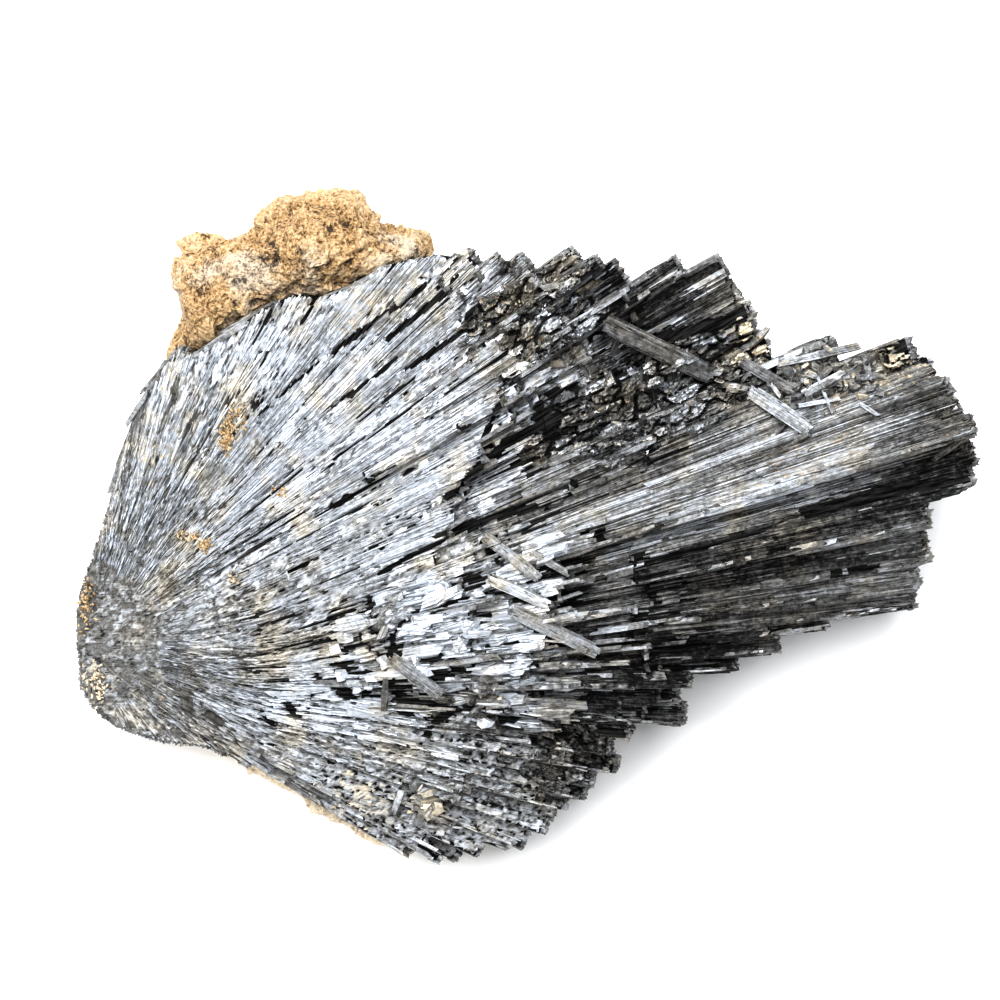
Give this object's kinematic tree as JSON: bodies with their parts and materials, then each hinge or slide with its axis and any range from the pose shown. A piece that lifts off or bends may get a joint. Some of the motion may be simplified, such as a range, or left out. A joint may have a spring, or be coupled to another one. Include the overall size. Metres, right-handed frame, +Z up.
{
  "type": "stibnite crystal spray",
  "caption": "Loose hand specimen: a fan of fused metallic laths on ochre rock, with a long bundle to one side and broken laths lying across. Rests on a flat cut.",
  "frame": {"origin": "middle of the bounding box's bottom, on the surface that the specimen rests on", "axes": "+Z up from the flat cut under the rock, +X the way that the longest laths point, +Y towards the lump of rock"},
  "size_m": [0.1206, 0.0914, 0.0467],
  "materials": {
    "stibnite": "metallic, finely striated along the laths, bluish grey with dull brown stains",
    "matrix": "matte, granular and pitted, ochre with cream highlights"
  },
  "bodies": {
    "root": {"crystal_spray": "stibnite", "matrix_rock": "matrix", "loose_lath_1": "stibnite", "loose_lath_2": "stibnite", "loose_lath_3": "stibnite", "loose_lath_4": "stibnite", "loose_lath_5": "stibnite", "loose_lath_6": "stibnite", "loose_lath_7": "stibnite", "loose_lath_8": "stibnite"}
  },
  "joints": []
}
